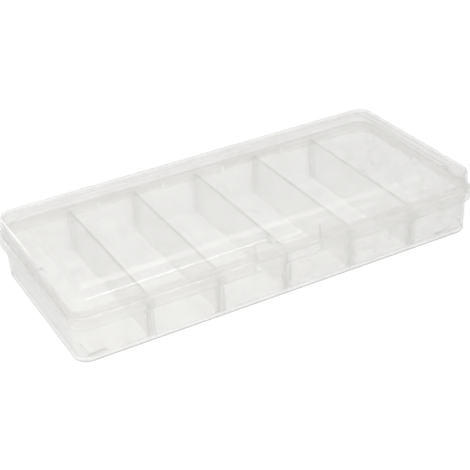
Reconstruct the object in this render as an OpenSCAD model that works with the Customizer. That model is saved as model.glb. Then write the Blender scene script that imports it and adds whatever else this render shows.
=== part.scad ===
// Clear bead box: a drafted tray with a flanged rim and six compartments, five lift-out
// dividers, and one lid that swings on two clips and shuts with a flexing latch tab.
// X runs along the box, the latch is at the front (-Y), the hinge at the back, +Z is up.
// Z = 0 is the surface that the feet stand on, and X = Y = 0 is the middle of the whole box.

/* [Box] */
// Length over the rim flange
box_l = 202.4; // [150:0.1:280]
// Depth over the rim flange, without the hinge
box_w = 93.8; // [70:0.1:150]
// Height of the ledge that the lid sits on
tray_h = 23.6; // [20:0.2:45]
// Height of the lid's skirt, from the ledge to the flat border
lid_h = 8.3; // [6:0.1:14]
// Outer radius of the lid's upright corners
corner_r = 8; // [6:0.5:14]

/* [Walls] */
// Thickness of the tray's wall
wall = 1.2; // [1:0.1:1.6]
// Distance from the lid's face in to the tray's wall
wall_inset = 0.7; // [0.4:0.1:1.2]
// Thickness of the tray's floor
floor_t = 1.3; // [1:0.1:2]
// Outward lean of the tray's wall, in degrees
draft = 1.6; // [0.5:0.1:4]
// Radius along the tray's bottom edge
bottom_r = 1; // [0.6:0.1:2.2]
// Radius inside, between the floor and the wall
floor_fillet = 0.8; // [0.4:0.1:1.2]

/* [Rim] */
// How far the rim flange stands out past the lid
rim_out = 1.4; // [1.2:0.1:3]
// Height of the flange's down-turned band
rim_drop = 5.5; // [4.4:0.1:8]
// Thickness of the ledge and of its down-turned band
rim_t = 1; // [0.9:0.1:1.5]
// Radius along the flange's top edge
rim_edge_r = 0.8; // [0.4:0.05:0.95]
// Height of the lip that rises inside the lid
lip_h = 1.6; // [1:0.1:3]
// Thickness of that lip
lip_t = 1; // [0.8:0.1:1.2]
// Gap between the lip and the lid's skirt
lip_gap = 0.3; // [0.2:0.05:0.6]

/* [Dividers] */
// Distance from one divider to the next
slot_pitch = 32.8; // [20:0.2:36]
// Thickness of a divider
divider_t = 1.2; // [0.8:0.1:2]
// Distance from the ledge down to a divider's top edge
divider_drop = 0.4; // [0.2:0.1:0.9]
// Gap between a divider and the tray's wall
divider_gap = 0.3; // [0.2:0.05:0.6]
// Radius of a divider's lower corners
divider_r = 2.5; // [1.5:0.1:5]
// Gap between a divider and a slot rib, on each side
slot_gap = 0.15; // [0.05:0.05:0.4]
// Width of a slot rib
rib_w = 1.2; // [0.8:0.1:2]
// How far a rib stands in from the wall at the floor
rib_in = 1; // [0.8:0.1:2.5]
// Distance from the ledge down to a rib's top
rib_drop = 2.2; // [1.6:0.1:8]

/* [Feet] */
// Height of the L-shaped stacking feet
foot_h = 0.8; // [0.6:0.1:1.2]
// Thickness of a foot
foot_t = 1; // [0.8:0.1:2]
// Length of each leg of a foot
foot_leg = 9; // [6:0.5:16]
// Gap between a foot and the raised panel of a box below it
stack_gap = 0.3; // [0.2:0.1:1.5]

/* [Lid] */
// Thickness of the lid
lid_t = 1.2; // [1:0.1:1.5]
// Inward lean of the lid's skirt, in degrees
lid_draft = 1.5; // [0.5:0.1:3]
// Radius along the lid's top edge
lid_edge_r = 1.8; // [1.6:0.1:3]
// Width of the flat border around the raised panel
border_w = 7.3; // [6:0.1:14]
// How far the panel rises above the border
panel_rise = 1.5; // [1.3:0.1:3]
// Run of the sloped step around the panel
panel_run = 2.3; // [1:0.1:3]
// Corner radius of the panel's foot
panel_r = 4; // [3.5:0.5:8]

/* [Latch] */
// Width of the latch tab
tab_w = 31.5; // [26:0.5:40]
// Width of the slit beside the tab
slit_w = 0.8; // [0.5:0.1:1.2]
// Distance from the ledge down to the tab's lower edge
tab_drop = 0.8; // [0.4:0.1:1.6]
// Height of the tab's upright lip
tab_lip = 1.8; // [1.2:0.1:3]
// Gap between the tab's bead and the ledge behind it
tab_gap = 0.35; // [0.3:0.05:0.8]
// Length of the snap bead inside the tab
bead_l = 22; // [12:0.5:24]
// Radius of the snap bead
bead_r = 0.45; // [0.3:0.05:0.6]
// Height of the catch rib on the tray's wall
catch_h = 4.6; // [3:0.1:5.4]
// Distance from the ledge down to the catch rib
catch_drop = 1.7; // [1.5:0.1:3]
// How far the catch rib stands out from the wall
catch_out = 1; // [0.6:0.1:1.4]
// Length of the thumb scoop's straight part
scoop_l = 12.5; // [6:0.5:16]
// Radius of the thumb scoop
scoop_r = 3; // [2.4:0.1:3.6]

/* [Hinge] */
// Distance from the middle of the box to each hinge
hinge_x = 33; // [26:0.5:60]
// Width of the gap in the flange at each hinge
hinge_w = 35.5; // [24:0.5:44]
// Distance from the ledge down to the hinge bar
bar_drop = 3.2; // [2.8:0.1:4]
// Radius of the hinge bar
bar_r = 1.1; // [1:0.05:1.4]
// Radial clearance of the clip on the bar
bar_gap = 0.05; // [0.02:0.01:0.09]
// Thickness of the clip around the bar
clip_t = 1.1; // [1:0.05:1.3]
// Gap between the clip and the tray's wall
clip_gap = 0.35; // [0.3:0.05:0.8]
// Thickness of the ears that carry the bar
ear_t = 1.8; // [1.2:0.1:3]
// Radius of an ear around the bar
ear_r = 1.8; // [1.6:0.05:2.1]
// Gap at each end of the clip
clip_end_gap = 0.6; // [0.3:0.1:1.5]
// How far up the lid's skirt a clip's arm reaches
arm_rise = 3; // [2:0.1:5]
// Opening of the clip's mouth, in degrees
mouth = 100; // [70:5:120]

/* [Hidden] */
$fn = 96;
cut = 1;

// Sections are drawn as distance out from the upright corner axes, against height.
axis_x = box_l / 2 - rim_out - corner_r;
axis_y = box_w / 2 - rim_out - corner_r;
floor_z = foot_h + floor_t;
lip_out = corner_r - lid_t - lip_gap;
wall_out = corner_r - wall_inset;
flange_out = corner_r + rim_out;
flange_z = tray_h - rim_drop;

lid_top = tray_h + lid_h;
panel_top = lid_top + panel_rise;
panel_x = box_l / 2 - rim_out - border_w;
panel_y = box_w / 2 - rim_out - border_w;
panel_axis_x = panel_x - panel_r;
panel_axis_y = panel_y - panel_r;
skin_shift = lid_t / 3;
foot_out = stack_gap + foot_t - panel_run * (1 - foot_h / panel_rise);

divider_top = tray_h - divider_drop;
slot_w = divider_t + 2 * slot_gap;

gap_w = tab_w + 2 * slit_w;
tab_top = lid_top - lid_edge_r;
tab_bottom = tray_h - tab_drop;
tab_in = flange_out - lid_t;
ledge_out = tab_in - bead_r - tab_gap;

clip_r = bar_r + bar_gap + clip_t;
bar_u = wall_out + clip_gap + clip_r;
bar_z = tray_h - bar_drop;
clip_l = hinge_w - 2 * ear_t - 2 * clip_end_gap;
arm_in = wall_out + clip_gap;

// The hinge stands out further than the flange, so all is moved forward to centre the whole.
shift_y = (flange_out - bar_u - clip_r) / 2;

// Distance of the tray's outer wall face from the corner axis at height z
function wall_at(z) = wall_out - (tray_h - z) * tan(draft);
// Distance of the tray's inner wall face from the corner axis at height z
function inside_at(z) = wall_at(z) - wall;
// Distance of the lid's outer skirt face from the corner axis at height z
function skirt_at(z) = corner_r - (z - tray_h) * tan(lid_draft);
// Run from a sharp corner to the centre of the circle that rounds it,
// between a level line and a face that leans out by angle a
function round_run(r, a) = r * (1 - sin(a)) / cos(a);

// One section swept around a rounded rectangle: four quarter turns and four straight sides
module around(ax, ay) {
    for (i = [0:3]) {
        sx = (i == 0 || i == 3) ? 1 : -1;
        sy = (i < 2) ? 1 : -1;
        translate([sx * ax, sy * ay, 0])
            rotate([0, 0, 90 * i])
                rotate_extrude(angle = 90)
                    children();
        across = (i % 2 == 0) ? ax : ay;
        along = (i % 2 == 0) ? ay : ax;
        rotate([0, 0, 90 * i])
            translate([across, along, 0])
                rotate([90, 0, 0])
                    linear_extrude(2 * along)
                        children();
    }
}

// The same sweep with its middle filled between two heights
module filled(ax, ay, z0, z1) {
    around(ax, ay)
        children();
    translate([-ax, -ay, z0])
        cube([2 * ax, 2 * ay, z1 - z0]);
}

// Half-section of a leaning cup: flat at z0, rounded by r, leaning out by a up to z1
module cup_section(u0, z0, z1, r, a) {
    uc = u0 - round_run(r, a);
    polygon([
        [0, z0],
        [uc, z0],
        [uc + r * cos(a), z0 + r - r * sin(a)],
        [u0 + (z1 - z0) * tan(a), z1],
        [0, z1]
    ]);
    translate([uc, z0 + r])
        circle(r);
}

// A profile drawn as distance out against height, stood on the front wall
module at_front(x, length) {
    translate([x + length / 2, -axis_y, 0])
        rotate([90, 0, -90])
            linear_extrude(length)
                children();
}

// The same on the back wall
module at_back(x, length) {
    translate([x - length / 2, axis_y, 0])
        rotate([90, 0, 90])
            linear_extrude(length)
                children();
}

// Wall, floor edge and rim of the tray in one section
module tray_section() {
    difference() {
        cup_section(wall_at(foot_h), foot_h, tray_h, bottom_r, draft);
        cup_section(inside_at(floor_z), floor_z, tray_h + cut, floor_fillet, draft);
    }
    translate([lip_out - lip_t, tray_h - rim_t])
        square([lip_t, rim_t + lip_h]);
    flange_section();
}

// Ledge and down-turned band with a rounded top edge
module flange_section() {
    difference() {
        union() {
            translate([inside_at(tray_h), tray_h - rim_t])
                square([flange_out - inside_at(tray_h), rim_t]);
            translate([flange_out - rim_t, flange_z])
                square([rim_t, rim_drop]);
        }
        difference() {
            translate([flange_out - rim_edge_r, tray_h - rim_edge_r])
                square([rim_edge_r + cut, rim_edge_r + cut]);
            translate([flange_out - rim_edge_r, tray_h - rim_edge_r])
                circle(rim_edge_r);
        }
    }
}

module ribs() {
    for (i = [-2:2]) {
        for (s = [-1, 1]) {
            x = i * slot_pitch + s * (slot_w + rib_w) / 2;
            at_front(x, rib_w)
                rib_section();
            at_back(x, rib_w)
                rib_section();
        }
    }
}

module rib_section() {
    top = tray_h - rib_drop;
    face = inside_at(floor_z) - rib_in;
    polygon([
        [face, foot_h + floor_t / 2],
        [wall_at(floor_z) - wall / 2, foot_h + floor_t / 2],
        [wall_at(top) - wall / 2, top],
        [face + rib_in / 2, top],
        [face, top - rib_in]
    ]);
}

module feet() {
    for (sx = [-1, 1]) {
        for (sy = [-1, 1]) {
            scale([sx, sy, 1])
                foot();
        }
    }
}

module foot() {
    ox = panel_x + foot_out;
    oy = panel_y + foot_out;
    translate([ox - foot_leg, oy - foot_t, 0])
        cube([foot_leg, foot_t, floor_z - floor_t / 2]);
    translate([ox - foot_t, oy - foot_leg, 0])
        cube([foot_t, foot_leg, floor_z - floor_t / 2]);
}

// Gap in the flange under the latch tab: the ledge is cut back and the band is left out
module front_gap() {
    translate([-gap_w / 2, -axis_y - flange_out - cut, flange_z - cut])
        cube([gap_w, flange_out + cut - ledge_out, rim_drop + 2 * cut]);
}

// The cut ends of the flange reach a quarter of the way into the ears beside each gap.
module hinge_gaps() {
    for (s = [-1, 1]) {
        translate([s * hinge_x - hinge_w / 2 + ear_t / 4, axis_y + wall_out, flange_z - cut])
            cube([hinge_w - ear_t / 2, flange_out + cut - wall_out, rim_drop + 2 * cut]);
    }
}

// Rounded rib across the wall under the latch tab
module catch_rib() {
    half = gap_w / 2 - catch_h / 2;
    zc = tray_h - catch_drop - catch_h / 2;
    translate([0, -axis_y - wall_out - catch_out, zc])
        rotate([-90, 0, 0])
            linear_extrude(wall_out + catch_out - inside_at(zc) - wall / 2)
                union() {
                    translate([-half, -catch_h / 2])
                        square([2 * half, catch_h]);
                    translate([-half, 0])
                        circle(catch_h / 2);
                    translate([half, 0])
                        circle(catch_h / 2);
                }
}

// Ears and bar of one hinge
module hinge_bar(x) {
    for (s = [-1, 1]) {
        at_back(x + s * (hinge_w - ear_t) / 2, ear_t)
            ear_section();
    }
    at_back(x, hinge_w - ear_t)
        translate([bar_u, bar_z])
            circle(bar_r);
}

module ear_section() {
    foot_u = wall_at(bar_z - ear_r) - wall / 2;
    translate([foot_u, bar_z - ear_r])
        square([bar_u - foot_u, 2 * ear_r]);
    translate([bar_u, bar_z])
        circle(ear_r);
}

module tray() {
    color([0.86, 0.88, 0.86, 0.35])
        translate([0, shift_y, 0])
            union() {
                difference() {
                    filled(axis_x, axis_y, foot_h, floor_z)
                        tray_section();
                    front_gap();
                    hinge_gaps();
                }
                ribs();
                feet();
                catch_rib();
                hinge_bar(-hinge_x);
                hinge_bar(hinge_x);
            }
}

// Half-section of the lid's skirt and border; a depth of lid_t gives its hollow
module skirt_section(depth, below) {
    translate([0, lid_top - depth])
        mirror([0, 1])
            cup_section(
                skirt_at(lid_top - depth) - depth,
                0,
                lid_h - depth + below,
                lid_edge_r - depth,
                lid_draft
            );
}

// Half-section of the raised panel, from height z0 up
module panel_section(z0, depth, inset) {
    polygon([
        [0, z0],
        [panel_r - inset, z0],
        [panel_r - inset, lid_top - depth],
        [panel_r - panel_run - inset, panel_top - depth],
        [0, panel_top - depth]
    ]);
}

module lid_body() {
    filled(axis_x, axis_y, tray_h, lid_top)
        skirt_section(0, 0);
    filled(panel_axis_x, panel_axis_y, lid_top - lid_t / 2, panel_top)
        panel_section(lid_top - lid_t / 2, 0, 0);
}

module lid_cavity() {
    filled(axis_x, axis_y, tray_h - cut, lid_top - lid_t)
        skirt_section(lid_t, cut);
    filled(panel_axis_x, panel_axis_y, lid_top - 1.5 * lid_t, panel_top - lid_t)
        panel_section(lid_top - 1.5 * lid_t, lid_t, skin_shift);
}

// The skirt is left out where the latch tab and its two slits go.
module front_slot() {
    translate([-gap_w / 2, -axis_y - corner_r - cut, tray_h - cut])
        cube([gap_w, corner_r + cut - lip_out, tab_top - tray_h + cut]);
}

// Tab that leans out from the lid's edge to an upright lip over the flange gap
module tab_section() {
    root = skirt_at(tab_top);
    knee = tab_bottom + tab_lip;
    polygon([
        [root - lid_t, tab_top],
        [root - 0.8 * lid_t, tab_top + lid_t / 4],
        [root - 0.2 * lid_t, tab_top + lid_t / 4],
        [root, tab_top],
        [flange_out, knee],
        [flange_out, tab_bottom],
        [tab_in, tab_bottom],
        [tab_in, knee - lid_t / 4]
    ]);
}

module tab() {
    at_front(0, tab_w)
        tab_section();
    at_front(0, bead_l)
        translate([tab_in, tab_bottom + bead_r])
            circle(bead_r);
}

// Thumb scoop: a bar with round ends along the lid's top front edge
module scoop(r) {
    for (s = [-1, 1]) {
        translate([s * scoop_l / 2, -axis_y - skirt_at(lid_top), lid_top])
            sphere(r);
    }
    translate([-scoop_l / 2, -axis_y - skirt_at(lid_top), lid_top])
        rotate([0, 90, 0])
            cylinder(h = scoop_l, r = r);
}

module scoop_skin() {
    intersection() {
        scoop(scoop_r + lid_t);
        at_front(0, scoop_l + 2 * scoop_r + 4 * lid_t)
            skirt_section(0, 0);
    }
}

// Clip that snaps over the hinge bar, hung from the lid's back skirt
module clip_section() {
    arm_top = tray_h + arm_rise;
    reach = 3 * clip_r;
    difference() {
        union() {
            translate([bar_u, bar_z])
                circle(clip_r);
            polygon([
                [arm_in, bar_z],
                [arm_in, tray_h + lid_t],
                [skirt_at(arm_top) - lid_t / 2, arm_top],
                [skirt_at(arm_top), arm_top],
                [bar_u, bar_z + clip_r],
                [bar_u, bar_z]
            ]);
        }
        translate([bar_u, bar_z])
            circle(bar_r + bar_gap);
        translate([bar_u, bar_z])
            polygon([
                [0, 0],
                [-reach * sin(mouth / 2), -reach * cos(mouth / 2)],
                [reach * sin(mouth / 2), -reach * cos(mouth / 2)]
            ]);
    }
}

module lid() {
    color([0.9, 0.92, 0.9, 0.3])
        translate([0, shift_y, 0])
            difference() {
                union() {
                    difference() {
                        lid_body();
                        lid_cavity();
                        front_slot();
                    }
                    tab();
                    scoop_skin();
                    at_back(-hinge_x, clip_l)
                        clip_section();
                    at_back(hinge_x, clip_l)
                        clip_section();
                }
                scoop(scoop_r);
            }
}

// A divider's outline: its sides follow the tray's wall, its lower corners are round,
// and its upper corners are cut back so that it lifts out past the foot of the lip.
module divider_section() {
    low = axis_y + inside_at(floor_z) - divider_gap;
    yc = low - round_run(divider_r, draft);
    side_y = yc + divider_r * cos(draft);
    side_z = floor_z + divider_r - divider_r * sin(draft);
    nick_z = tray_h - rim_t - divider_gap;
    high = axis_y + inside_at(nick_z) - divider_gap;
    nick = max(lip_t / 2, high - (axis_y + lip_out - lip_t - divider_gap));
    polygon([
        [-yc, floor_z],
        [yc, floor_z],
        [side_y, side_z],
        [axis_y + inside_at(nick_z - nick) - divider_gap, nick_z - nick],
        [high - nick, nick_z],
        [high - nick, divider_top],
        [nick - high, divider_top],
        [nick - high, nick_z],
        [divider_gap - axis_y - inside_at(nick_z - nick), nick_z - nick],
        [-side_y, side_z]
    ]);
    for (s = [-1, 1]) {
        translate([s * yc, floor_z + divider_r])
            circle(divider_r);
    }
}

module divider(i) {
    color([0.84, 0.87, 0.85, 0.4])
        translate([i * slot_pitch - divider_t / 2, shift_y, 0])
            rotate([90, 0, 90])
                linear_extrude(divider_t)
                    divider_section();
}

module divider_1() {
    divider(-2);
}

module divider_2() {
    divider(-1);
}

module divider_3() {
    divider(0);
}

module divider_4() {
    divider(1);
}

module divider_5() {
    divider(2);
}

tray();
lid();
divider_1();
divider_2();
divider_3();
divider_4();
divider_5();
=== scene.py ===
"""Clear bead box: the plastics, the white studio and the camera around the fixed frame."""

import math

import bpy
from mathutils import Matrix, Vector


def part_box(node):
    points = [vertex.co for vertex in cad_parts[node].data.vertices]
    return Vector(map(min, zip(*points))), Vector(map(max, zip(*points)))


bl_info = {
    "name": "Clear bead box",
    "version": (1, 0, 0),
    "blender": (4, 5, 0),
    "location": "View3D > Sidebar > Bead box",
    "description": "Dresses a lidded bead box in clear moulded plastic and lights it",
    "category": "Object",
}

MM = 0.001

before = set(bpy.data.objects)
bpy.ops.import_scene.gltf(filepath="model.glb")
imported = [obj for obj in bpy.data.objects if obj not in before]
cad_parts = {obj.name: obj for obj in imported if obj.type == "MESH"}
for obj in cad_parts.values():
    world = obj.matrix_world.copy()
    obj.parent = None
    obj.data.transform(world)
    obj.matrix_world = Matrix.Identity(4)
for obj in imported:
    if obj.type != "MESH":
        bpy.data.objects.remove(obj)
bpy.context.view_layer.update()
DIVIDERS = ["divider_%d" % i for i in range(1, 6)]


def linear(code):
    """An sRGB hex colour as the linear values that a shader takes."""
    out = []
    for i in (0, 2, 4):
        c = int(code[i:i + 2], 16) / 255
        out.append(c / 12.92 if c <= 0.04045 else ((c + 0.055) / 1.055) ** 2.4)
    return (*out, 1.0)


# ---------------------------------------------------------------- sizes and colours


class PlasticLook(bpy.types.PropertyGroup):
    tray_colour: bpy.props.FloatVectorProperty(
        name="Tray colour", description="Colour of the haze in the tray's polypropylene",
        size=4, subtype="COLOR", min=0, max=1, default=linear("FAF9F6"))
    lid_colour: bpy.props.FloatVectorProperty(
        name="Lid colour", description="Colour of the haze in the lid's polypropylene",
        size=4, subtype="COLOR", min=0, max=1, default=linear("FBFAF7"))
    divider_colour: bpy.props.FloatVectorProperty(
        name="Divider colour", description="Colour of the haze in the dividers' polypropylene",
        size=4, subtype="COLOR", min=0, max=1, default=linear("FAFAF7"))
    # The edge colour is painted shade: edges, rounds, slot bands, divider tops, the floor's line
    # and the outline take it, for the dark lines that refraction draws there, with some real
    # greying of the plastic seen along its thickness.
    edge_shade_colour: bpy.props.FloatVectorProperty(
        name="Edge colour", description="Colour of the edges, seen along the thick plastic",
        size=4, subtype="COLOR", min=0, max=1, default=linear("B0B0AC"))
    haze: bpy.props.FloatProperty(
        name="Haze", description="Share of the light that each face bends or scatters",
        default=0.3, min=0, max=1, subtype="FACTOR")
    bend: bpy.props.FloatProperty(
        name="Bend", description="Part of that share that is bent and not scattered",
        default=0.3, min=0, max=1, subtype="FACTOR")
    flat: bpy.props.FloatProperty(
        name="Level faces", description="Haze and shine of level faces next to the upright ones",
        default=0.75, min=0, max=1, subtype="FACTOR")
    edge: bpy.props.FloatProperty(
        name="Edges", description="Share of the light that the edges bend or scatter",
        default=0.42, min=0, max=1, subtype="FACTOR")
    # It is also how far the outline takes the edge colour: painted shade where the surface turns
    # away from the eye.
    outline: bpy.props.FloatProperty(
        name="Outline", description="That share where the surface turns away from the eye",
        default=0.7, min=0, max=1, subtype="FACTOR")
    edge_width: bpy.props.FloatProperty(
        name="Edge width", description="How far from an edge the plastic gathers light",
        default=0.0003, min=0, subtype="DISTANCE", unit="LENGTH")
    roughness: bpy.props.FloatProperty(
        name="Roughness", description="Roughness of the polished mould faces",
        default=0.05, min=0, max=1, subtype="FACTOR")


class StudioSize(bpy.types.PropertyGroup):
    floor_size: bpy.props.FloatProperty(
        name="Floor", description="Side of the white paper sheet",
        default=8.0, min=1, subtype="DISTANCE", unit="LENGTH")
    fill: bpy.props.FloatProperty(
        name="Fill light", description="Level of the room's light on the object",
        default=0.72, min=0)
    walls: bpy.props.FloatProperty(
        name="Walls", description="Level of the pale room walls that the gloss shows",
        default=0.8, min=0)
    ceiling: bpy.props.FloatProperty(
        name="Ceiling", description="Level of the ceiling next to the walls",
        default=0.85, min=0)
    overhead: bpy.props.FloatProperty(
        name="Overhead softbox", description="Level of the softbox above that the gloss shows",
        default=1.1, min=0)
    right: bpy.props.FloatProperty(
        name="Right side", description="Level of the dark right side that the gloss shows",
        default=0.12, min=0)
    front: bpy.props.FloatProperty(
        name="Front softbox", description="Level of the softbox in front of the box",
        default=0.7, min=0)
    strips: bpy.props.FloatProperty(
        name="Strip lamps", description="Level of the thin lamps that draw lines on the edges",
        default=8.5, min=0)
    lens: bpy.props.FloatProperty(
        name="Lens", description="Focal length in millimetres",
        default=90.92, min=10, max=300, unit="CAMERA")


# ---------------------------------------------------------------- node helpers


def node(tree, kind, *wires, **values):
    """Adds one shader node with its settings and links.

    values are settings and sockets by name, and wires fill its sockets in their order. A node
    given for a socket is linked by its first output.
    """
    n = tree.nodes.new(kind)
    for key, value in values.items():
        if key not in n.inputs:
            setattr(n, key, value)
    open_sockets = [s for s in n.inputs if s.enabled]
    pairs = list(zip(open_sockets, wires))
    pairs += [(n.inputs[key], value) for key, value in values.items() if key in n.inputs]
    for socket, value in pairs:
        if isinstance(value, bpy.types.Node):
            value = value.outputs[0]
        if isinstance(value, bpy.types.NodeSocket):
            tree.links.new(value, socket)
        elif value is not None:
            socket.default_value = value
    return n


def new_material(name):
    m = bpy.data.materials.new(name)
    m.use_nodes = True
    m.node_tree.nodes.clear()
    return m


def parts_of(t, output):
    """X, Y and Z of a texture coordinate: a place on the object, its normal, or a direction."""
    where = node(t, "ShaderNodeTexCoord")
    return node(t, "ShaderNodeSeparateXYZ", where.outputs[output]).outputs


# ---------------------------------------------------------------- the plastic

# Natural polypropylene, injection moulded in polished steel. To the eye that gives thin walls
# that are almost clear, a faint haze in clouds where the melt flowed, a smooth skin with a weak
# gloss and long flat waves where it shrank as it cooled. The grey lines at the edges, the rounds
# and the slots are painted shade for the dark lines that refraction draws there, with some real
# greying where the plastic is seen along its thickness. Real polishing marks are too fine for the
# render, so they are drawn at 2.5 mm, where they still show.
CLOUD_SIZE = 14.286 * MM
WAVE_SIZE = 9.091 * MM
WAVE_HEIGHT = 0.04 * MM
WAVE_STRENGTH = 0.1
POLISH_SIZE = 2.5 * MM
REFRACTION = 1.49

# Four numbers map the first two to the last two. Two are where a change starts and ends.
CLOUD_HAZE = (0.3, 0.7, 0.85, 1.15)     # the clouds' noise, to 15% less or more haze
POLISH_NOISE = (0.35, 0.7)              # the polish's noise, from the smoothest to the roughest
POLISH_SHARES = (0.6, 1.8)              # of the roughness, at those two ends
UNDERSIDE = (-0.5, -0.1, 0.1, 1.0)      # the normal's Z, to a shine that is weak underneath
LEVEL_FACE = (0.85, 0.99)               # the normal's Z, from sloped to level
TURNING = (0.3, 0.9)                    # how far a face turns away, where the haze grows
TURNING_HAZE = 0.1                      # and by how much
# Where the outline turns to the edge colour: painted shade for the dark rims of clear plastic
# seen edge-on.
OUTLINE = (0.62, 0.88)                  # how far it turns away, where the outline darkens
SHADOW_SHARE = 0.25                     # of a face's haze, for a shadow ray

# An edge is found by the cosine of the surface's turn within the edge's width. It starts to show
# below NO_EDGE and counts in full below the other value, which is reached sooner on the lid's
# soft rounds.
NO_EDGE = 0.99
FULL_EDGE = 0.75
FULL_LID_EDGE = 0.93

# The haze of the tray's and of the thin dividers' faces next to that of the lid's.
TRAY_HAZE = 1.1
DIVIDER_HAZE = 0.6


def moulded_edges(t, width, full):
    """1 on edges and tight rounds, where the surface turns within the given width, else 0."""
    rounded = node(t, "ShaderNodeBevel", Radius=width, samples=4)
    true = node(t, "ShaderNodeNewGeometry")
    turn = node(t, "ShaderNodeVectorMath", rounded, true.outputs["Normal"],
                operation="DOT_PRODUCT")
    return node(t, "ShaderNodeMapRange", turn.outputs["Value"], full, NO_EDGE, 1.0, 0.0,
                interpolation_type="SMOOTHSTEP")


def clear_plastic(name, colour, look, haze, flat, full_edge, extra=None):
    """Natural polypropylene: most light goes straight through, some bends, some scatters.

    extra is a function of the tree that gives 1 where painted shade darkens it besides the edges.
    """
    m = new_material(name)
    t = m.node_tree
    where = node(t, "ShaderNodeTexCoord").outputs["Object"]

    up = parts_of(t, "Normal")["Z"]
    lit = node(t, "ShaderNodeMapRange", up, *UNDERSIDE)
    level = node(t, "ShaderNodeMath", up, operation="ABSOLUTE")
    level = node(t, "ShaderNodeMapRange", level, *LEVEL_FACE, 1.0, flat,
                 interpolation_type="SMOOTHSTEP")

    # The share of the light that the face doesn't let straight through: haze, edges, outline.
    cloud = node(t, "ShaderNodeTexNoise", where, Scale=1 / CLOUD_SIZE, Detail=2.0)
    cloud = node(t, "ShaderNodeMapRange", cloud, *CLOUD_HAZE)
    facing = node(t, "ShaderNodeLayerWeight", Blend=0.5).outputs["Facing"]
    milk = node(t, "ShaderNodeMapRange", facing, *TURNING, haze, haze + TURNING_HAZE,
                interpolation_type="SMOOTHSTEP")
    milk = node(t, "ShaderNodeMath", milk, cloud, operation="MULTIPLY")
    milk = node(t, "ShaderNodeMath", milk, level, operation="MULTIPLY")
    outline = node(t, "ShaderNodeMapRange", facing, *OUTLINE, 0.0, look.outline,
                   interpolation_type="SMOOTHSTEP")
    line = moulded_edges(t, look.edge_width, full_edge)
    if extra is not None:
        line = node(t, "ShaderNodeMath", line, extra(t), operation="MAXIMUM")
    edge = node(t, "ShaderNodeMath", line, look.edge, operation="MULTIPLY")
    share = node(t, "ShaderNodeMath", milk, edge, operation="MAXIMUM")
    share = node(t, "ShaderNodeMath", share, outline, operation="MAXIMUM")
    shadow = node(t, "ShaderNodeLightPath").outputs["Is Shadow Ray"]
    passing = node(t, "ShaderNodeMapRange", shadow, 0.0, 1.0, 1.0, SHADOW_SHARE)
    share = node(t, "ShaderNodeMath", share, passing, operation="MULTIPLY")

    # Painted shade: the edges, the lines that extra gives and the outline take the edge colour.
    dark = node(t, "ShaderNodeMath", line, outline, operation="MAXIMUM")
    tone = node(t, "ShaderNodeMix", dark, colour, look.edge_shade_colour, data_type="RGBA")
    polish = node(t, "ShaderNodeTexNoise", where, Scale=1 / POLISH_SIZE, Detail=3.0)
    polish = node(t, "ShaderNodeMapRange", polish, *POLISH_NOISE,
                  *(part * look.roughness for part in POLISH_SHARES))
    clear = node(t, "ShaderNodeBsdfTransparent")
    colour_result = tone.outputs[2]
    skin = node(t, "ShaderNodeBsdfPrincipled", IOR=REFRACTION, Roughness=polish,
                **{"Base Color": colour_result, "Transmission Weight": look.bend})
    wall = node(t, "ShaderNodeMixShader", share, clear, skin)

    # The gloss lies on the outer side of a face only, and is weak on level faces.
    wave = node(t, "ShaderNodeTexNoise", where, Scale=1 / WAVE_SIZE, Detail=1.0)
    wave = node(t, "ShaderNodeBump", Height=wave.outputs[0], Strength=WAVE_STRENGTH,
                Distance=WAVE_HEIGHT)
    mirror = node(t, "ShaderNodeFresnel", IOR=REFRACTION, Normal=wave)
    inside = node(t, "ShaderNodeNewGeometry").outputs["Backfacing"]
    shine = node(t, "ShaderNodeMath", mirror, inside, operation="SUBTRACT", use_clamp=True)
    shine = node(t, "ShaderNodeMath", shine, level, operation="MULTIPLY")
    shine = node(t, "ShaderNodeMath", shine, lit, operation="MULTIPLY")
    gloss = node(t, "ShaderNodeBsdfGlossy", Roughness=polish, Normal=wave)
    top = node(t, "ShaderNodeMixShader", shine, wall, gloss)
    node(t, "ShaderNodeOutputMaterial", Surface=top)
    return m


# ---------------------------------------------------------------- painted shade lines that follow the CAD

# The first divider's box gives the places. The dividers stand at whole pitches from the middle,
# and the box's middle line lies a little in front of Y = 0, because the hinge adds to its back.
LOW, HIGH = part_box(DIVIDERS[0])
SLOT_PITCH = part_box(DIVIDERS[1])[0].x - LOW.x
MIDDLE_Y = (LOW.y + HIGH.y) / 2
DIVIDER_TOP = HIGH.z
FLOOR_TOP = LOW.z
RIB_TOP = DIVIDER_TOP - 1.8 * MM
LONG_WALL = HIGH.y - MIDDLE_Y - 1.75 * MM     # from the middle line, where the ribs' ends start

TOP_LINE = (DIVIDER_TOP - 0.6 * MM, DIVIDER_TOP - 0.2 * MM, 0.0, 1.0)
SLOT_SIDE = (0.4 * MM, 0.8 * MM, 0.0, 0.45)   # from a divider's middle, clear inside the slot
RIB_SIDE = (1.8 * MM, 2.1 * MM, 1.0, 0.0)     # from a divider's middle, where the rib ends
FLOOR_LINE = (FLOOR_TOP - 0.7 * MM, FLOOR_TOP + 0.3 * MM, 2.0, 0.0)
UPRIGHT = 0.9                                 # the normal's Z is below this on upright faces
DIAGONAL_SLOPE = 0.45                         # of the line from back left to front right
DIAGONAL_FADE = (0.0, 8 * MM, 1.0, 0.0)


def divider_top_shade(t):
    """The top edge of a divider as a dark line of painted shade, for the line that the edge shows
    as it pipes light along the wall.
    """
    return node(t, "ShaderNodeMapRange", parts_of(t, "Object")["Z"], *TOP_LINE,
                interpolation_type="SMOOTHSTEP")


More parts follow.
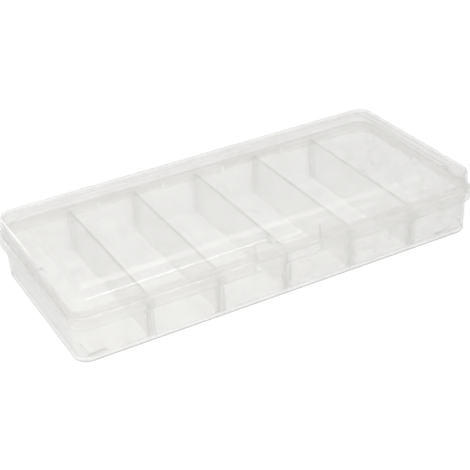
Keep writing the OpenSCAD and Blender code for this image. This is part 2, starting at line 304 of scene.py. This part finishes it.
def slot_band_shade(t):
    """Painted shade in bands where the dividers slide into the long walls, for the dark stripes
    of the ribs' thicker plastic.
    """
    place = parts_of(t, "Object")
    near = node(t, "ShaderNodeMath", place["X"], SLOT_PITCH / 2, operation="ADD")
    near = node(t, "ShaderNodeMath", near, SLOT_PITCH, operation="FLOORED_MODULO")
    near = node(t, "ShaderNodeMath", near, SLOT_PITCH / 2, operation="SUBTRACT")
    near = node(t, "ShaderNodeMath", near, operation="ABSOLUTE")
    slot = node(t, "ShaderNodeMapRange", near, *SLOT_SIDE)
    rib = node(t, "ShaderNodeMapRange", near, *RIB_SIDE)
    band = node(t, "ShaderNodeMath", rib, slot, operation="MULTIPLY")

    along = node(t, "ShaderNodeMath", place["X"], operation="ABSOLUTE")
    along = node(t, "ShaderNodeMath", along, SLOT_PITCH * len(DIVIDERS) / 2,
                 operation="LESS_THAN")
    across = node(t, "ShaderNodeMath", place["Y"], MIDDLE_Y, operation="SUBTRACT")
    across = node(t, "ShaderNodeMath", across, operation="ABSOLUTE")
    across = node(t, "ShaderNodeMath", across, LONG_WALL, operation="GREATER_THAN")
    low = node(t, "ShaderNodeMath", place["Z"], RIB_TOP, operation="LESS_THAN")
    for limit in (along, across, low):
        band = node(t, "ShaderNodeMath", band, limit, operation="MULTIPLY")
    return band


def floor_edge_shade(t):
    """Painted shade: a grey line at the floor's edge, at the foot of the walls.

    It stays on the front and left side of the box's diagonal, which face the camera. The other
    walls are seen from inside, where a fillet along the floor leaves no line.
    """
    place = parts_of(t, "Object")
    line = node(t, "ShaderNodeMapRange", place["Z"], *FLOOR_LINE)
    upright = node(t, "ShaderNodeMath", parts_of(t, "Normal")["Z"], operation="ABSOLUTE")
    upright = node(t, "ShaderNodeMath", upright, UPRIGHT, operation="LESS_THAN")
    side = node(t, "ShaderNodeMath", place["X"], DIAGONAL_SLOPE, place["Y"],
                operation="MULTIPLY_ADD")
    side = node(t, "ShaderNodeMapRange", side, *DIAGONAL_FADE)
    for limit in (upright, side):
        line = node(t, "ShaderNodeMath", line, limit, operation="MULTIPLY")
    return line


def tray_shade_lines(t):
    """Where painted shade darkens the tray besides its edges: the slot bands and the floor's
    line.
    """
    return node(t, "ShaderNodeMath", slot_band_shade(t), floor_edge_shade(t), operation="MAXIMUM")


# ---------------------------------------------------------------- the pieces


def dress(name, material):
    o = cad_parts[name]
    o.data.materials.clear()
    o.data.materials.append(material)


class BEADBOX_OT_tray(bpy.types.Operator):
    """Gives the tray its clear moulded plastic"""

    bl_idname = "beadbox.tray"
    bl_label = "Tray plastic"

    def execute(self, context):
        look = context.scene.beadbox_look
        dress("tray", clear_plastic("Moulded polypropylene, tray", look.tray_colour, look,
                                    TRAY_HAZE * look.haze, look.flat, FULL_EDGE, tray_shade_lines))
        return {"FINISHED"}


class BEADBOX_OT_lid(bpy.types.Operator):
    """Gives the lid its clear polished plastic"""

    bl_idname = "beadbox.lid"
    bl_label = "Lid plastic"

    def execute(self, context):
        look = context.scene.beadbox_look
        dress("lid", clear_plastic("Moulded polypropylene, lid", look.lid_colour, look,
                                   look.haze, look.flat, FULL_LID_EDGE))
        return {"FINISHED"}


class BEADBOX_OT_dividers(bpy.types.Operator):
    """Gives the dividers their thin clear plastic"""

    bl_idname = "beadbox.dividers"
    bl_label = "Divider plastic"

    def execute(self, context):
        look = context.scene.beadbox_look
        plastic = clear_plastic("Moulded polypropylene, divider", look.divider_colour, look,
                                DIVIDER_HAZE * look.haze, 1.0, FULL_EDGE, divider_top_shade)
        for name in DIVIDERS:
            dress(name, plastic)
        return {"FINISHED"}


# ---------------------------------------------------------------- the studio

# White coated paper, matt. The eye sees an even white that fades into the background. The light
# that it throws up into the clear walls comes from a painted colour, darker to the right, so more
# comes from the left than from the right.
SHEET_GAP = 0.2 * MM                     # it lies this far below the feet
SHEET_BOUNCE = (-0.06, 0.16, 0.9, 0.25)  # X in metres, to the share of light that it throws back
SHEET_GLOW = 0.9                         # how bright it is seen where no light falls on it
SHEET_SHADE = (0.16, 0.16, 0.16, 1)      # what the light adds, so that it keeps the shadow
WHITE = (1, 1, 1, 1)

# The room changes with the direction, whose X runs to the right and whose Z runs up.
RIGHT_STARTS = (0.5, 0.9)                # X, from the pale walls to the dark right side
CEILING_STARTS = (0.15, 0.45)            # Z, from the walls to the ceiling
OVERHEAD_STARTS = (0.8, 0.9)             # Z, from the ceiling to the softbox above
FILL_FALLS = (-0.2, 0.6)                 # X, between the next two shares of the fill light
FILL_LEFT, FILL_RIGHT = 1.06, 0.4
FILL_RISES = (0.3, 0.8)                  # Z, up to the next share of it
FILL_ABOVE = 1.18

# Each lamp's name, place, aim, width and depth in metres, and the setting for its level.
LAMPS = (
    ("front softbox", (-0.22, -0.6, 0.25), (-0.06, 0, 0.01), 0.35, 0.25, "front"),
    ("top edge lamp", (0.15, -0.51, 0.623), (-0.05, -0.047, 0.03), 0.34, 0.12, "strips"),
    ("left edge lamp", (-0.42, 0.69, 0.253), (-0.1, 0.03, 0.03), 0.04, 0.16, "strips"),
)

# The camera, solved from the straight edges of the box. It shows nothing nearer than NEAREST.
CAMERA_PLACE = (-0.2156126, -0.4258332, 0.2826474)
CAMERA_TURN = (1.0484822, 0.0588711, -0.5000777)
SENSOR_MM = 36
NEAREST = 10 * MM

# A ray crosses many faces of clear plastic before it leaves the box.
BOUNCES = {
    "max_bounces": 24,
    "diffuse_bounces": 12,
    "transmission_bounces": 24,
    "transparent_max_bounces": 32,
}


def seen_rays(t):
    """1 for rays from the camera and for mirrored and bent ones, and 0 for the others."""
    path = node(t, "ShaderNodeLightPath").outputs
    seen = node(t, "ShaderNodeMath", path["Is Camera Ray"], path["Is Glossy Ray"],
                operation="MAXIMUM")
    return node(t, "ShaderNodeMath", seen, path["Is Transmission Ray"], operation="MAXIMUM")


def add_floor(size):
    bpy.ops.object.select_all(action="DESELECT")
    bpy.ops.mesh.primitive_plane_add(size=size.floor_size, location=(0, 0, -SHEET_GAP))
    floor = bpy.context.active_object
    floor.name = "floor"
    bpy.ops.object.transform_apply(location=True)
    m = new_material("White coated paper, matt")
    t = m.node_tree
    bounce = node(t, "ShaderNodeMapRange", parts_of(t, "Object")["X"], *SHEET_BOUNCE)
    bounce = node(t, "ShaderNodeCombineColor", bounce, bounce, bounce)
    paper = node(t, "ShaderNodeBsdfDiffuse", Color=bounce)
    shade = node(t, "ShaderNodeBsdfDiffuse", Color=SHEET_SHADE)
    glow = node(t, "ShaderNodeEmission", Strength=SHEET_GLOW)
    shown = node(t, "ShaderNodeAddShader", glow, shade)
    mix = node(t, "ShaderNodeMixShader", seen_rays(t), paper, shown)
    node(t, "ShaderNodeOutputMaterial", Surface=mix)
    floor.data.materials.append(m)


def add_room(context, size):
    """A pale room with a dark right side, and the fill light, which is strongest from the left.

    The camera sees it white, the gloss sees its walls, and other rays take the fill light.
    """
    world = bpy.data.worlds.new("White room")
    context.scene.world = world
    world.use_nodes = True
    t = world.node_tree
    t.nodes.clear()
    side = parts_of(t, "Generated")
    right = node(t, "ShaderNodeMapRange", side["X"], *RIGHT_STARTS, size.walls, size.right,
                 interpolation_type="SMOOTHSTEP")
    up = node(t, "ShaderNodeMapRange", side["Z"], *CEILING_STARTS, 1.0, size.ceiling,
              interpolation_type="SMOOTHSTEP")
    softbox = node(t, "ShaderNodeMapRange", side["Z"], *OVERHEAD_STARTS, 0.0, size.overhead,
                   interpolation_type="SMOOTHSTEP")
    walls = node(t, "ShaderNodeMath", right, up, softbox, operation="MULTIPLY_ADD")
    path = node(t, "ShaderNodeLightPath").outputs
    shown = node(t, "ShaderNodeMath", walls, path["Is Camera Ray"], operation="MAXIMUM")

    fill = node(t, "ShaderNodeMapRange", side["X"], *FILL_FALLS, FILL_LEFT * size.fill,
                FILL_RIGHT * size.fill, interpolation_type="SMOOTHSTEP")
    above = node(t, "ShaderNodeMapRange", side["Z"], *FILL_RISES, 1.0, FILL_ABOVE)
    fill = node(t, "ShaderNodeMath", fill, above, operation="MULTIPLY")
    room = node(t, "ShaderNodeBackground", Color=WHITE, Strength=fill)
    white = node(t, "ShaderNodeBackground", Color=WHITE, Strength=shown)
    mix = node(t, "ShaderNodeMixShader", seen_rays(t), room, white)
    node(t, "ShaderNodeOutputWorld", Surface=mix)


def add_lamp(name, place, aim, width, depth, level):
    """A soft rectangular lamp, level being the brightness that a mirror would show."""
    bpy.ops.object.select_all(action="DESELECT")
    turn = (Vector(aim) - Vector(place)).to_track_quat("-Z", "Y").to_euler()
    bpy.ops.object.light_add(type="AREA", location=place, rotation=turn)
    lamp = bpy.context.active_object
    lamp.name = name
    lamp.data.shape = "RECTANGLE"
    lamp.data.size = width
    lamp.data.size_y = depth
    lamp.data.energy = level * math.pi * width * depth
    lamp.visible_transmission = False


def add_camera(context, lens):
    bpy.ops.object.camera_add(location=CAMERA_PLACE, rotation=CAMERA_TURN)
    camera = context.active_object
    camera.name = "camera"
    camera.data.lens = lens
    camera.data.sensor_width = SENSOR_MM
    camera.data.clip_start = NEAREST
    context.scene.camera = camera


class BEADBOX_OT_studio(bpy.types.Operator):
    """Builds the white floor, the soft lights and the camera"""

    bl_idname = "beadbox.studio"
    bl_label = "Studio"

    def execute(self, context):
        size = context.scene.beadbox_studio
        add_floor(size)
        add_room(context, size)
        for name, place, aim, width, depth, level in LAMPS:
            add_lamp(name, place, aim, width, depth, getattr(size, level))
        add_camera(context, size.lens)
        context.scene.view_settings.view_transform = "Standard"
        for limit, bounces in BOUNCES.items():
            setattr(context.scene.cycles, limit, bounces)
        return {"FINISHED"}


# ---------------------------------------------------------------- the add-on


class BEADBOX_PT_panel(bpy.types.Panel):
    """Lists the bead box's steps"""

    bl_idname = "BEADBOX_PT_panel"
    bl_label = "Bead box"
    bl_space_type = "VIEW_3D"
    bl_region_type = "UI"
    bl_category = "Bead box"

    def draw(self, context):
        for step in STEPS:
            self.layout.operator(step.bl_idname)


STEPS = (BEADBOX_OT_tray, BEADBOX_OT_lid, BEADBOX_OT_dividers, BEADBOX_OT_studio)
CLASSES = (PlasticLook, StudioSize, *STEPS, BEADBOX_PT_panel)


def register():
    for c in CLASSES:
        bpy.utils.register_class(c)
    bpy.types.Scene.beadbox_look = bpy.props.PointerProperty(type=PlasticLook)
    bpy.types.Scene.beadbox_studio = bpy.props.PointerProperty(type=StudioSize)


def unregister():
    del bpy.types.Scene.beadbox_studio
    del bpy.types.Scene.beadbox_look
    for c in reversed(CLASSES):
        bpy.utils.unregister_class(c)


def main():
    register()
    bpy.ops.beadbox.tray()
    bpy.ops.beadbox.lid()
    bpy.ops.beadbox.dividers()
    bpy.ops.beadbox.studio()


if __name__ == "__main__":
    main()
